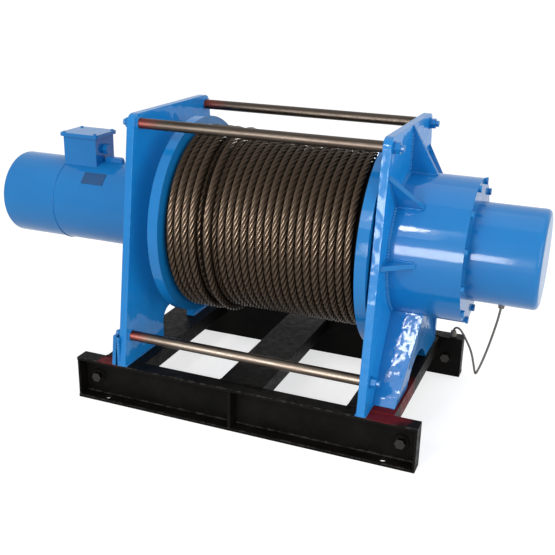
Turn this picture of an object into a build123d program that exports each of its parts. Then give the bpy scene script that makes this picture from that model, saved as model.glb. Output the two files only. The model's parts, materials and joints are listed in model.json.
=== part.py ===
from build123d import *
import math
import os

# Electric winch in millimetres. X runs along the drum axis towards the gear end, Y to the rear, Z up.
# The origin is on the floor at the middle of the base.

# Base
BASE_LENGTH = 946.0
BASE_DEPTH = 600.0
CHANNEL_HEIGHT = 120.0
CHANNEL_FLANGE = 42.0
CHANNEL_WEB = 7.0
CHANNEL_LIP = 8.0
BEAM_WIDTH = 120.0
BEAM_DEPTH = 42.0
BEAM_OUTWARD = 24.0
STIFFENER_X = -16.0
STIFFENER_THICKNESS = 8.0
BASE_HOLE_RADIUS = 9.0
BASE_HOLE_SPACING = 780.0
BASE_HOLE_EDGE = 18.0
WEB_BOLT_END = 45.0
WEB_BOLT_HEIGHT = 58.0
WEB_BOLT_RADIUS = 8.0

# Side plates
PLATE_GAP = 642.0
PLATE_THICKNESS = 20.0
PLATE_TOP = 777.0
PLATE_FOOT_WIDTH = 600.0
PLATE_TOP_WIDTH = 416.0
PLATE_CORNER = 26.0
ARCH_WIDTH = 180.0
ARCH_HEIGHT = 90.0
ARCH_CORNER = 40.0
DOUBLER_THICKNESS = 10.0
DOUBLER_HEIGHT = 80.0
DOUBLER_LENGTH = 105.0

# Tie rods
ROD_RADIUS = 13.5
ROD_THREAD_RADIUS = 8.0
ROD_TOP_DROP = 25.0
ROD_TOP_SPACING = 366.0
ROD_FOOT_RISE = 78.0
ROD_FOOT_SPACING = 524.0
ROD_END = 24.0
NUT_ACROSS_FLATS = 24.0
NUT_HEIGHT = 13.0
WASHER_RADIUS = 15.0
WASHER_THICKNESS = 3.0

# Drum and rope
AXIS_HEIGHT = 478.0
DRUM_WIDTH = 517.0
BARREL_RADIUS = 183.0
BARREL_WALL = 12.0
FLANGE_RADIUS = 271.0
FLANGE_THICKNESS = 28.0
FLANGE_GAP = 5.0
JOURNAL_RADIUS = 65.0
JOURNAL_BORE = 40.0
JOURNAL_REACH = 4.0
ROPE_DIAMETER = 20.0
ROPE_CORE_DEPTH = 29.5
ROPE_GAP = 0.5
ROPE_UPPER_TURNS = 6
ROPE_LEAST_GAP = 0.6
LAYER_RISE = 17.3
STEPS_PER_TURN = 4

# Drum bearings
BEARING_WIDTH = 16.0
BEARING_RING = 11.0
BALL_RADIUS = 7.5
BALL_CLEARANCE = 0.5
BALL_COUNT = 18

# Shafts
SHAFT_RADIUS = 19.0
GEAR_SHAFT_RADIUS = 14.0
RUNNING_CLEARANCE = 0.05
FIT_CLEARANCE = 0.02
BUSH_RADIUS = 30.0

# Planetary gears
MODULE = 4.0
SUN_TEETH = 12
PLANET_TEETH = 33
RING_TEETH = 78
PLANET_COUNT = 3
GEAR_WIDTH = 40.0
PLANET_RELIEF = 2.0
PRESSURE_ANGLE = math.radians(25.0)
TOOTH_THINNING = 1.8
ADDENDUM = 0.7
DEDENDUM = 1.0
CARRIER_THICKNESS = 14.0
CARRIER_RADIUS = 112.0
PIN_RADIUS = 14.0
STAGE_GAP = 4.0
JOURNAL_STEP = 9.0

# Gear housing, pedestal and brake
HOUSING_RADIUS = 181.0
HOUSING_WALL = 13.0
HOUSING_LENGTH = 164.0
COVER_THICKNESS = 14.0
COVER_BOLTS = 12
COVER_BOLT_RADIUS = 5.0
RIB_THICKNESS = 12.0
RIB_DEPTH = 71.0
RIB_REACH = 118.0
RIB_SIDE_REACH = 58.0
RIB_ANGLES = (0, 45, 90, 135, 180)
LEG_FOOT_SPREAD = 228.0
LEG_TOP_SPREAD = 92.0
LEG_FOOT_DEPTH = 57.0
LEG_TOP_DEPTH = 84.0
LEG_THICKNESS = 14.0
LEG_ARCH_SPREAD = 105.0
LEG_ARCH_RISE = 57.0
CAP_RADIUS = 124.0
CAP_WALL = 6.0
CAP_LENGTH = 169.0
CAP_ROUND = 13.0
SPIGOT_LENGTH = 10.0
MAGNET_LENGTH = 36.0
MAGNET_RADIUS = 112.0
BRAKE_DISC_RADIUS = 96.0
BRAKE_DISC_THICKNESS = 12.0
ARMATURE_THICKNESS = 8.0
ARMATURE_GAP = 1.2
BRAKE_CLEARANCE = 0.4
STUD_RADIUS = 5.0
STUD_CIRCLE = 104.0

# Motor
MOTOR_RADIUS = 118.0
MOTOR_WALL = 10.0
MOTOR_LENGTH = 489.0
MOTOR_FLANGE_RADIUS = 150.0
MOTOR_FLANGE = 18.0
MOTOR_SHIELD = 39.0
MOTOR_BOLT_CIRCLE = 132.5
MOTOR_BOLT_RADIUS = 6.0
FAN_COVER_LENGTH = 175.0
FAN_COVER_WALL = 3.0
END_SHIELD = 17.0
MOTOR_BEARING_RADIUS = 31.0
MOTOR_BEARING_WIDTH = 15.0
STATOR_LENGTH = 150.0
ROTOR_RADIUS = 70.0
AIR_GAP = 0.8
WINDING_LENGTH = 24.0
FAN_RADIUS = 95.0
FAN_LENGTH = 40.0
FAN_BLADES = 8
FAN_HUB = 32.0
COUPLING_RADIUS = 30.0
COUPLING_LENGTH = 62.0
BOX_LENGTH = 106.0
BOX_WIDTH = 92.0
BOX_TOP = 668.0
BOX_FROM_SEAM = 53.0
BOX_WALL = 5.0
LID_OVERHANG = 8.0
LID_THICKNESS = 10.0
LUG_FROM_SHIELD = 137.0
LUG_LENGTH = 54.0
LUG_HEIGHT = 14.0
LUG_ROUND = 9.8
LUG_THICKNESS = 16.0
PLATE_LABEL_FROM_SHIELD = 157.0
PLATE_LABEL_LENGTH = 70.0
PLATE_LABEL_ANGLES = (125.0, 143.0)
PLATE_LABEL_THICKNESS = 1.0

# Brake lead
LEAD_DIAMETER = 6.0
LEAD_EXIT_X = 597.0
LEAD_LANDING = (441.0, 281.0)
GLAND_RADIUS = 11.0
GLAND_LENGTH = 16.0
GLAND_TAPER = 0.65
LEAD_FOLD = 0.45
LEAD_ROUTE = [
    (597.0, 0.0, 342.0),
    (592.0, 12.0, 306.0),
    (582.0, 38.0, 256.0),
    (565.0, 80.0, 180.0),
    (548.0, 120.0, 116.0),
    (541.0, 135.0, 94.0),
    (534.0, 149.0, 73.0),
    (530.0, 155.0, 75.0),
    (525.0, 160.0, 92.0),
    (511.0, 182.0, 125.0),
    (490.0, 212.0, 142.0),
    (472.0, 240.0, 153.0),
    (459.0, 258.0, 156.0),
    (447.0, 273.0, 150.0),
    (441.0, 281.0, 139.0),
    (441.0, 281.0, 130.0),
]

# Derived places
PLATE_IN = PLATE_GAP / 2
PLATE_OUT = PLATE_IN + PLATE_THICKNESS
DRUM_RIGHT = PLATE_IN - FLANGE_GAP - FLANGE_THICKNESS
DRUM_LEFT = DRUM_RIGHT - DRUM_WIDTH
BEARING_INNER = JOURNAL_RADIUS + BEARING_RING
BEARING_TRACK = BEARING_INNER + BALL_CLEARANCE + BALL_RADIUS
BEARING_OUTER = BEARING_TRACK + BALL_RADIUS + BALL_CLEARANCE
BEARING_SEAT = BEARING_OUTER + BEARING_RING
HOUSING_BORE = HOUSING_RADIUS - HOUSING_WALL
HOUSING_END = PLATE_OUT + HOUSING_LENGTH
COVER_END = HOUSING_END + COVER_THICKNESS
CARRIER_TWO = PLATE_OUT + JOURNAL_STEP
STAGE_TWO = CARRIER_TWO + CARRIER_THICKNESS + STAGE_GAP
CARRIER_ONE = STAGE_TWO + GEAR_WIDTH + STAGE_GAP
STAGE_ONE = CARRIER_ONE + CARRIER_THICKNESS + STAGE_GAP
CENTRE_DISTANCE = MODULE * (SUN_TEETH + PLANET_TEETH) / 2
MAGNET_START = COVER_END + SPIGOT_LENGTH
MAGNET_END = MAGNET_START + MAGNET_LENGTH
ARMATURE_START = MAGNET_END + ARMATURE_GAP
DISC_START = ARMATURE_START + ARMATURE_THICKNESS + BRAKE_CLEARANCE
BACKPLATE_START = DISC_START + BRAKE_DISC_THICKNESS + BRAKE_CLEARANCE
BACKPLATE_END = BACKPLATE_START + ARMATURE_THICKNESS
CAP_END = COVER_END + CAP_LENGTH
MOTOR_END = -PLATE_OUT - MOTOR_LENGTH
SHIELD_END = -PLATE_OUT - MOTOR_SHIELD
FAN_SEAM = MOTOR_END + FAN_COVER_LENGTH
STATOR_CENTRE = (SHIELD_END + FAN_SEAM) / 2
BOX_CENTRE = FAN_SEAM + BOX_FROM_SEAM
LUG_CENTRE = SHIELD_END - LUG_FROM_SHIELD
PLATE_LABEL_CENTRE = SHIELD_END - PLATE_LABEL_FROM_SHIELD
BEAM_SPACING = PLATE_IN + BEAM_OUTWARD
COUPLING_CENTRE = -PLATE_IN
ROPE_RADIUS = BARREL_RADIUS + ROPE_CORE_DEPTH + ROPE_GAP + ROPE_DIAMETER / 2
ROPE_SPAN = DRUM_WIDTH - ROPE_DIAMETER - 2 * ROPE_GAP
ROPE_TURNS = int(ROPE_SPAN / (ROPE_DIAMETER + ROPE_LEAST_GAP))
ROPE_PITCH = ROPE_SPAN / ROPE_TURNS
ROPE_START = DRUM_LEFT + ROPE_GAP + ROPE_DIAMETER / 2
HEX = 1 / math.cos(math.pi / 6)


def across(x, y=0.0, z=AXIS_HEIGHT):
    """Plane square to X, with its own x along Y and its own y along Z."""
    return Plane(origin=(x, y, z), x_dir=(0, 1, 0), z_dir=(1, 0, 0))


def disc(radius, start, end, y=0.0, z=AXIS_HEIGHT):
    return extrude(across(start, y, z) * Circle(radius), end - start)


def ring(outer, inner, start, end, y=0.0, z=AXIS_HEIGHT):
    return extrude(across(start, y, z) * (Circle(outer) - Circle(inner)), end - start)


def block(x_range, y_range, z_range):
    size = [high - low for low, high in (x_range, y_range, z_range)]
    middle = [(high + low) / 2 for low, high in (x_range, y_range, z_range)]
    return Pos(*middle) * Box(*size)


def hexagon(flats, start, end, y=0.0, z=AXIS_HEIGHT):
    return extrude(across(start, y, z) * RegularPolygon(flats / 2 * HEX, 6), end - start)


def polar(radius, degrees):
    turn = math.radians(degrees)
    return radius * math.cos(turn), AXIS_HEIGHT + radius * math.sin(turn)


def group(solids):
    return Compound(children=list(solids))


# Base frame
def channel(side):
    """Side rail with its web towards the middle; side is -1 at the front and 1 at the rear."""
    outside = side * BASE_DEPTH / 2
    inside = side * (BASE_DEPTH / 2 - CHANNEL_FLANGE)
    pocket = side * (BASE_DEPTH / 2 - CHANNEL_FLANGE + CHANNEL_WEB)
    half = BASE_LENGTH / 2
    rail = block((-half, half), sorted((inside, outside)), (0, CHANNEL_HEIGHT))
    rail -= block((-half, half), sorted((pocket, outside)), (CHANNEL_LIP, CHANNEL_HEIGHT - CHANNEL_LIP))
    for end in (-1, 1):
        hole_y = side * (BASE_DEPTH / 2 - BASE_HOLE_EDGE)
        rail -= Pos(end * BASE_HOLE_SPACING / 2, hole_y, CHANNEL_LIP / 2) * Cylinder(
            BASE_HOLE_RADIUS, CHANNEL_LIP)
        bolt_place = Pos(end * (half - WEB_BOLT_END), (inside + pocket) / 2, WEB_BOLT_HEIGHT)
        rail -= bolt_place * Rot(90, 0, 0) * Cylinder(WEB_BOLT_RADIUS, CHANNEL_WEB)
    return rail


def cross_beam(x):
    reach = BASE_DEPTH / 2 - CHANNEL_FLANGE
    low = CHANNEL_HEIGHT - BEAM_DEPTH
    half = BEAM_WIDTH / 2
    beam = block((x - half, x + half), (-reach, reach), (low, CHANNEL_HEIGHT))
    inside = half - CHANNEL_LIP
    beam -= block((x - inside, x + inside), (-reach, reach), (low, CHANNEL_HEIGHT - CHANNEL_WEB))
    return beam


def stiffeners():
    pocket = BASE_DEPTH / 2 - CHANNEL_FLANGE + CHANNEL_WEB
    across_x = (STIFFENER_X - STIFFENER_THICKNESS / 2, STIFFENER_X + STIFFENER_THICKNESS / 2)
    inside_z = (CHANNEL_LIP, CHANNEL_HEIGHT - CHANNEL_LIP)
    outside = BASE_DEPTH / 2
    return group(block(across_x, sorted((side * pocket, side * outside)), inside_z) for side in (-1, 1))


def web_bolts():
    """Hex bolt, washer and nut through each end of both rails."""
    pieces = []
    web_in = BASE_DEPTH / 2 - CHANNEL_FLANGE
    web_out = web_in + CHANNEL_WEB
    for side in (-1, 1):
        for end in (-1, 1):
            place = Pos(end * (BASE_LENGTH / 2 - WEB_BOLT_END), 0, WEB_BOLT_HEIGHT) * Rot(-90 * side, 0, 0)
            washer = Cylinder(WASHER_RADIUS, WASHER_THICKNESS, align=(Align.CENTER, Align.CENTER, Align.MIN))
            washer -= Cylinder(WEB_BOLT_RADIUS, 3 * WASHER_THICKNESS)
            head = extrude(RegularPolygon(NUT_ACROSS_FLATS / 2 * HEX, 6), NUT_HEIGHT)
            shank = Cylinder(WEB_BOLT_RADIUS, CHANNEL_WEB + WASHER_THICKNESS + NUT_HEIGHT,
                             align=(Align.CENTER, Align.CENTER, Align.MAX))
            nut = extrude(RegularPolygon(NUT_ACROSS_FLATS / 2 * HEX, 6), NUT_HEIGHT)
            nut -= Cylinder(WEB_BOLT_RADIUS, 3 * NUT_HEIGHT)
            pieces.append(place * Pos(0, 0, web_out) * washer)
            pieces.append(place * Pos(0, 0, web_out + WASHER_THICKNESS) * (head + shank))
            pieces.append(place * Pos(0, 0, web_in - NUT_HEIGHT) * nut)
    return group(pieces)


# Side plates and tie rods
def plate_half_width(z):
    share = (z - CHANNEL_HEIGHT) / (PLATE_TOP - CHANNEL_HEIGHT)
    return (PLATE_FOOT_WIDTH + share * (PLATE_TOP_WIDTH - PLATE_FOOT_WIDTH)) / 2


def rod_places():
    top = PLATE_TOP - ROD_TOP_DROP
    foot = CHANNEL_HEIGHT + ROD_FOOT_RISE
    return {
        "front_top": (-ROD_TOP_SPACING / 2, top),
        "rear_top": (ROD_TOP_SPACING / 2, top),
        "front_bottom": (-ROD_FOOT_SPACING / 2, foot),
        "rear_bottom": (ROD_FOOT_SPACING / 2, foot),
    }


def side_plate(start):
    """Tapered plate with rounded top corners, a foot arch, the bearing seat and four rod holes."""
    foot = PLATE_FOOT_WIDTH / 2
    top = PLATE_TOP_WIDTH / 2
    outline = Polygon((-foot, CHANNEL_HEIGHT), (foot, CHANNEL_HEIGHT), (top, PLATE_TOP), (-top, PLATE_TOP),
                      align=None)
    outline = fillet(outline.vertices().sort_by(Axis.Y)[-2:], PLATE_CORNER)
    arch = Pos(0, CHANNEL_HEIGHT + ARCH_HEIGHT / 2 - ARCH_CORNER) * RectangleRounded(
        ARCH_WIDTH, ARCH_HEIGHT + 2 * ARCH_CORNER, ARCH_CORNER)
    outline -= arch
    outline -= Pos(0, AXIS_HEIGHT) * Circle(BEARING_SEAT)
    for y, z in rod_places().values():
        outline -= Pos(y, z) * Circle(ROD_THREAD_RADIUS + RUNNING_CLEARANCE)
    return extrude(across(start, 0, 0) * outline, PLATE_THICKNESS)


def foot_doublers():
    """Plates welded outside the two feet on the motor side."""
    solids = []
    height = CHANNEL_HEIGHT + DOUBLER_HEIGHT
    for side in (-1, 1):
        corners = [
            (side * PLATE_FOOT_WIDTH / 2, CHANNEL_HEIGHT),
            (side * plate_half_width(height), height),
            (side * (PLATE_FOOT_WIDTH / 2 - DOUBLER_LENGTH), height),
            (side * (PLATE_FOOT_WIDTH / 2 - DOUBLER_LENGTH), CHANNEL_HEIGHT),
        ]
        outline = Polygon(*corners, align=None)
        nut_y, nut_z = rod_places()["front_bottom"]
        outline -= Pos(side * abs(nut_y), nut_z) * Circle(WASHER_RADIUS + ROPE_GAP)
        solids.append(extrude(across(-PLATE_OUT - DOUBLER_THICKNESS, 0, 0) * outline, DOUBLER_THICKNESS))
    return group(solids)


def tie_rod(y, z):
    rod = disc(ROD_RADIUS, -PLATE_IN, PLATE_IN, y, z)
    return rod + disc(ROD_THREAD_RADIUS, -PLATE_OUT - ROD_END, PLATE_OUT + ROD_END, y, z)


def rod_nuts():
    pieces = []
    bore = ROD_THREAD_RADIUS + RUNNING_CLEARANCE
    for y, z in rod_places().values():
        for start, direction in ((-PLATE_OUT, -1), (PLATE_OUT, 1)):
            washer_end = start + direction * WASHER_THICKNESS
            nut_end = washer_end + direction * NUT_HEIGHT
            pieces.append(ring(WASHER_RADIUS, bore, *sorted((start, washer_end)), y, z))
            nut = hexagon(NUT_ACROSS_FLATS, *sorted((washer_end, nut_end)), y, z)
            pieces.append(nut - disc(bore, *sorted((washer_end, nut_end)), y, z))
    return group(pieces)


# Drum, rope and drum bearings
def drum_flange(inner_face, direction, journal_end):
    """Flange casting with its hollow journal; direction is -1 on the motor side."""
    outer_face = inner_face + direction * FLANGE_THICKNESS
    flange = ring(FLANGE_RADIUS, BUSH_RADIUS, *sorted((inner_face, outer_face)))
    return flange + ring(JOURNAL_RADIUS, JOURNAL_BORE, *sorted((outer_face, journal_end)))


def rope_core():
    """Buried layers of rope as one sleeve, a layer higher where the upper turns lie."""
    lower = BARREL_RADIUS + ROPE_CORE_DEPTH
    step = ROPE_START + ROPE_PITCH * (ROPE_UPPER_TURNS - 0.5) - ROPE_DIAMETER / 2
    left = DRUM_LEFT + ROPE_GAP
    right = DRUM_RIGHT - ROPE_GAP
    sleeve = ring(lower, BARREL_RADIUS + ROPE_GAP, left, right)
    return sleeve + ring(lower + LAYER_RISE, lower - ROPE_GAP, left, step)


def rope_point(turns):
    """Centre of the rope after so many turns, counted from the motor side."""
    fall = min(max((turns - ROPE_UPPER_TURNS) / 0.5, 0.0), 1.0)
    fall = fall * fall * (3 - 2 * fall)
    radius = ROPE_RADIUS + LAYER_RISE * (1 - fall)
    y, z = polar(radius, 360 * turns)
    return Vector(ROPE_START + ROPE_PITCH * turns, y, z)


def rope_tangent(turns):
    step = 1e-4
    return (rope_point(turns + step) - rope_point(turns - step)).normalized()


def arc_from(start, start_dir, end):
    """Arc that leaves start along start_dir and ends at end."""
    chord = end - start
    along = chord.normalized()
    side = (start_dir - along * start_dir.dot(along)).normalized()
    half_angle = math.acos(start_dir.dot(along)) / 2
    return ThreePointArc(start, start + chord * 0.5 + side * (chord.length / 2 * math.tan(half_angle)), end)


def biarc(start, start_dir, end, end_dir):
    """Two tangent arcs between two points with given directions."""
    chord = end - start
    total = start_dir + end_dir
    along = chord.dot(total)
    spread = 2 * (1 - start_dir.dot(end_dir))
    reach = (math.sqrt(along * along + spread * chord.dot(chord)) - along) / spread
    middle = (start + start_dir * reach + end - end_dir * reach) * 0.5
    middle_dir = (end - end_dir * reach - start - start_dir * reach).normalized()
    return [arc_from(start, start_dir, middle), arc_from(middle, middle_dir, end)]


def rope_winding():
    """One unbroken rope along the whole drum, with a straight end of one diameter at each side."""
    count = ROPE_TURNS * STEPS_PER_TURN
    stations = [index / STEPS_PER_TURN for index in range(count + 1)]
    points = [rope_point(turns) for turns in stations]
    tangents = [rope_tangent(turns) for turns in stations]
    edges = [Line(points[0] - tangents[0] * ROPE_DIAMETER, points[0])]
    for index in range(count):
        edges += biarc(points[index], tangents[index], points[index + 1], tangents[index + 1])
    edges.append(Line(points[-1], points[-1] + tangents[-1] * ROPE_DIAMETER))
    path = Wire(edges)
    section = Plane(origin=path @ 0, z_dir=path % 0) * Circle(ROPE_DIAMETER / 2)
    winding = sweep(section, path)
    expected = math.pi * ROPE_DIAMETER ** 2 / 4 * path.length
    print("rope length", round(path.length, 1), "volume ratio", round(winding.volume / expected, 4))
    return winding


def rope_self_gap():
    """Least gap between neighbouring turns, measured on points."""
    samples = 24
    least = math.inf
    for index in range((ROPE_TURNS - 1) * samples):
        here = rope_point(index / samples)
        near = [rope_point((index + samples + shift) / samples) for shift in (-2, -1, 0, 1, 2)]
        least = min(least, min((point - here).length for point in near))
    return least - ROPE_DIAMETER


def rope_clamp():
    """Two clamp plates with their screws on the outer face of the motor-side flange."""
    face = DRUM_LEFT - FLANGE_THICKNESS
    plate_half_length = 30.0
    plate_half_height = 18.0
    plate_thickness = 12.0
    plate_offset = 36.0
    screw_flats = 18.0
    screw_head = 8.0
    middle = AXIS_HEIGHT + BARREL_RADIUS + ROPE_CORE_DEPTH
    outer_face = face - plate_thickness
    pieces = []
    for side in (-1, 1):
        y = side * plate_offset
        plate = block((outer_face, face), (y - plate_half_length, y + plate_half_length),
                      (middle - plate_half_height, middle + plate_half_height))
        pieces.append(plate)
        pieces.append(hexagon(screw_flats, outer_face - screw_head, outer_face, y, middle))
    return group(pieces)


def bearing_rings(outer, inner):
    inset = (PLATE_THICKNESS - BEARING_WIDTH) / 2
    starts = (inset - PLATE_OUT, PLATE_IN + inset)
    return [ring(outer, inner, start, start + BEARING_WIDTH) for start in starts]


def bearing_balls():
    balls = []
    for x in (-PLATE_IN - PLATE_THICKNESS / 2, PLATE_IN + PLATE_THICKNESS / 2):
        for index in range(BALL_COUNT):
            y, z = polar(BEARING_TRACK, 360 * index / BALL_COUNT)
            balls.append(Pos(x, y, z) * Sphere(BALL_RADIUS))
    return balls


# Gears
def tooth_outline(teeth, tip_side, phase):
    """Closed outline of straight-flanked teeth; tip_side is 1 outwards and -1 for an inner ring."""
    pitch_radius = MODULE * teeth / 2
    tip = pitch_radius + tip_side * ADDENDUM * MODULE
    root = pitch_radius - tip_side * DEDENDUM * MODULE
    half = math.pi * MODULE / 4 - TOOTH_THINNING / 2
    slope = math.tan(PRESSURE_ANGLE)
    tip_half = (half - slope * abs(tip - pitch_radius)) / tip
    root_half = (half + slope * abs(root - pitch_radius)) / root
    points = []
    for index in range(teeth):
        middle = math.radians(phase) + 2 * math.pi * index / teeth
        for radius, turn in ((root, -root_half), (tip, -tip_half), (tip, tip_half), (root, root_half)):
            points.append((radius * math.cos(middle + turn), radius * math.sin(middle + turn)))
    return Polygon(*points, align=None)


def external_gear(teeth, start, end, bore, y=0.0, z=AXIS_HEIGHT, phase=0.0):
    return extrude(across(start, y, z) * (tooth_outline(teeth, 1, phase) - Circle(bore)), end - start)


def ring_gear(start):
    phase = planet_angles()[0] + 180 / RING_TEETH
    face = Circle(HOUSING_BORE - FIT_CLEARANCE) - tooth_outline(RING_TEETH, -1, phase)
    return extrude(across(start) * face, GEAR_WIDTH)


def planet_angles():
    return [90 + 360 * index / PLANET_COUNT for index in range(PLANET_COUNT)]


def planet(stage_start, degrees):
    y, z = polar(CENTRE_DISTANCE, degrees)
    start = stage_start + PLANET_RELIEF
    end = stage_start + GEAR_WIDTH - PLANET_RELIEF
    return external_gear(PLANET_TEETH, start, end, PIN_RADIUS + RUNNING_CLEARANCE, y, z, degrees)


def carrier(start, bore):
    face = start + CARRIER_THICKNESS
    body = ring(CARRIER_RADIUS, bore, start, face)
    for degrees in planet_angles():
        y, z = polar(CENTRE_DISTANCE, degrees)
        body += disc(PIN_RADIUS, face, face + STAGE_GAP + GEAR_WIDTH, y, z)
    return body


# Gear housing, pedestal and brake
def housing_ribs():
    ribs = []
    for degrees in RIB_ANGLES:
        reach = RIB_REACH if degrees % 180 else RIB_SIDE_REACH
        triangle = Polygon((PLATE_OUT, HOUSING_RADIUS), (PLATE_OUT + RIB_DEPTH, HOUSING_RADIUS),
                           (PLATE_OUT, HOUSING_RADIUS + reach), align=None)
        rib = extrude(Plane.XZ * triangle, RIB_THICKNESS / 2, both=True)
        rib -= Rot(0, 90, 0) * Cylinder(HOUSING_RADIUS, 4 * PLATE_OUT)
        ribs.append(Pos(0, 0, AXIS_HEIGHT) * Rot(degrees - 90, 0, 0) * rib)
    return group(ribs)


def pedestal():
    """Leg casting under the housing: arched web, two sloping side walls and two foot pads."""
    top = AXIS_HEIGHT - HOUSING_RADIUS * math.sqrt(1 - (LEG_TOP_SPREAD / HOUSING_RADIUS) ** 2)
    height = top + LEG_THICKNESS
    outside = [(-LEG_FOOT_SPREAD, CHANNEL_HEIGHT), (LEG_FOOT_SPREAD, CHANNEL_HEIGHT),
               (LEG_TOP_SPREAD, height), (-LEG_TOP_SPREAD, height)]
    arch_top = (0, CHANNEL_HEIGHT + LEG_ARCH_RISE)
    arch = make_face([
        Line((-LEG_ARCH_SPREAD, CHANNEL_HEIGHT), (LEG_ARCH_SPREAD, CHANNEL_HEIGHT)),
        ThreePointArc((LEG_ARCH_SPREAD, CHANNEL_HEIGHT), arch_top, (-LEG_ARCH_SPREAD, CHANNEL_HEIGHT)),
    ])
    outline = Polygon(*outside, align=None)
    wall = LEG_THICKNESS / math.cos(math.atan2(LEG_FOOT_SPREAD - LEG_TOP_SPREAD, height - CHANNEL_HEIGHT))
    inside = [(y - math.copysign(wall, y), z) for y, z in outside]
    walls = outline - Polygon(*inside, align=None)
    profile = Polygon((PLATE_OUT, CHANNEL_HEIGHT), (PLATE_OUT + LEG_FOOT_DEPTH, CHANNEL_HEIGHT),
                      (PLATE_OUT + LEG_TOP_DEPTH, height), (PLATE_OUT, height), align=None)
    taper = extrude(Plane.XZ * profile, LEG_FOOT_SPREAD, both=True)
    casting = extrude(across(PLATE_OUT, 0, 0) * walls, LEG_TOP_DEPTH) & taper
    web = extrude(across(PLATE_OUT + LEG_FOOT_DEPTH - LEG_THICKNESS, 0, 0) * (outline - arch), LEG_THICKNESS)
    casting += web
    pad_z = (CHANNEL_HEIGHT, CHANNEL_HEIGHT + LEG_THICKNESS)
    for side in (-1, 1):
        pad_y = sorted((side * LEG_ARCH_SPREAD, side * (LEG_FOOT_SPREAD - wall)))
        casting += block((PLATE_OUT, PLATE_OUT + LEG_FOOT_DEPTH), pad_y, pad_z)
    return casting - disc(HOUSING_RADIUS, PLATE_OUT, PLATE_OUT + LEG_TOP_DEPTH)


def cover_bolt_places():
    circle = HOUSING_RADIUS - HOUSING_WALL / 2
    return [polar(circle, 15 + 360 * index / COVER_BOLTS) for index in range(COVER_BOLTS)]


def gear_housing():
    shell = ring(HOUSING_RADIUS, HOUSING_BORE, PLATE_OUT, HOUSING_END)
    depth = 2 * COVER_THICKNESS
    for y, z in cover_bolt_places():
        shell -= disc(COVER_BOLT_RADIUS, HOUSING_END - depth, HOUSING_END, y, z)
    return shell


def end_cover():
    """Cover with the bearing seat and the spigot that carries the brake and its cap."""
    cover = ring(HOUSING_RADIUS, BUSH_RADIUS, HOUSING_END, COVER_END)
    cover += ring(CAP_RADIUS - CAP_WALL - FIT_CLEARANCE, BUSH_RADIUS, COVER_END, MAGNET_START)
    for y, z in cover_bolt_places():
        cover -= disc(COVER_BOLT_RADIUS + FIT_CLEARANCE, HOUSING_END, COVER_END, y, z)
    return cover


def cover_bolts():
    head_height = 7.0
    flats = 16.0
    bolts = []
    for y, z in cover_bolt_places():
        shank = disc(COVER_BOLT_RADIUS - FIT_CLEARANCE, HOUSING_END - COVER_THICKNESS, COVER_END, y, z)
        bolts.append(shank + hexagon(flats, COVER_END, COVER_END + head_height, y, z))
    return group(bolts)


def brake_cap():
    cap = disc(CAP_RADIUS, COVER_END, CAP_END)
    cap = fillet(cap.edges().sort_by(Axis.X)[-1], CAP_ROUND)
    cap -= disc(CAP_RADIUS - CAP_WALL, COVER_END, CAP_END - CAP_WALL)
    hole_z = AXIS_HEIGHT - CAP_RADIUS + CAP_WALL / 2
    return cap - Pos(LEAD_EXIT_X, 0, hole_z) * Cylinder(LEAD_DIAMETER, 4 * CAP_WALL)


def cap_gland():
    """Gland below the cap with its neck in the cap's hole and a tapered nose."""
    top = AXIS_HEIGHT - CAP_RADIUS
    upward = (Align.CENTER, Align.CENTER, Align.MIN)
    low = Pos(LEAD_EXIT_X, 0, top - GLAND_LENGTH)
    body = low * Cone(GLAND_RADIUS * GLAND_TAPER, GLAND_RADIUS, GLAND_LENGTH + CAP_WALL, align=upward)
    body -= disc(CAP_RADIUS, LEAD_EXIT_X - GLAND_RADIUS, LEAD_EXIT_X + GLAND_RADIUS)
    return body + low * Cylinder(LEAD_DIAMETER - FIT_CLEARANCE, GLAND_LENGTH + CAP_WALL, align=upward)


def channel_gland():
    upward = (Align.CENTER, Align.CENTER, Align.MIN)
    x, y = LEAD_LANDING
    nose = GLAND_RADIUS * GLAND_TAPER
    return Pos(x, y, CHANNEL_HEIGHT) * Cone(GLAND_RADIUS, nose, GLAND_LENGTH, align=upward)


def brake_lead():
    """Thin lead from the cap's gland down to a sharp bend and up into the rear rail."""
    points = [Vector(*point) for point in LEAD_ROUTE]
    radii = []
    for before, here, after in zip(points, points[1:], points[2:]):
        first = here - before
        second = after - here
        half_turn = math.radians(first.get_angle(second)) / 2
        radii.append(LEAD_FOLD * min(first.length, second.length) / math.tan(half_turn))
    print("lead radii", [round(radius) for radius in radii])
    path = FilletPolyline(*points, radius=radii)
    section = Plane(origin=path @ 0, z_dir=path % 0) * Circle(LEAD_DIAMETER / 2)
    lead = sweep(section, path)
    expected = math.pi * LEAD_DIAMETER ** 2 / 4 * path.length
    print("lead length", round(path.length, 1), "volume ratio", round(lead.volume / expected, 4))
    return lead


# Motor
def drive_shield():
    """Flanged end shield bolted to the side plate, hollow where the drum journal ends."""
    shield = ring(MOTOR_FLANGE_RADIUS, MOTOR_BEARING_RADIUS, -PLATE_OUT - MOTOR_FLANGE, -PLATE_OUT)
    shield += ring(MOTOR_RADIUS, MOTOR_BEARING_RADIUS, SHIELD_END, -PLATE_OUT - MOTOR_FLANGE)
    recess = JOURNAL_REACH + STAGE_GAP
    shield -= disc(JOURNAL_RADIUS + FLANGE_GAP, -PLATE_OUT - recess, -PLATE_OUT)
    for y, z in motor_bolt_places():
        shield -= disc(MOTOR_BOLT_RADIUS + FIT_CLEARANCE, -PLATE_OUT - MOTOR_FLANGE, -PLATE_OUT, y, z)
    return shield


def motor_bolt_places():
    return [polar(MOTOR_BOLT_CIRCLE, 45 + 90 * index) for index in range(4)]


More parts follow.
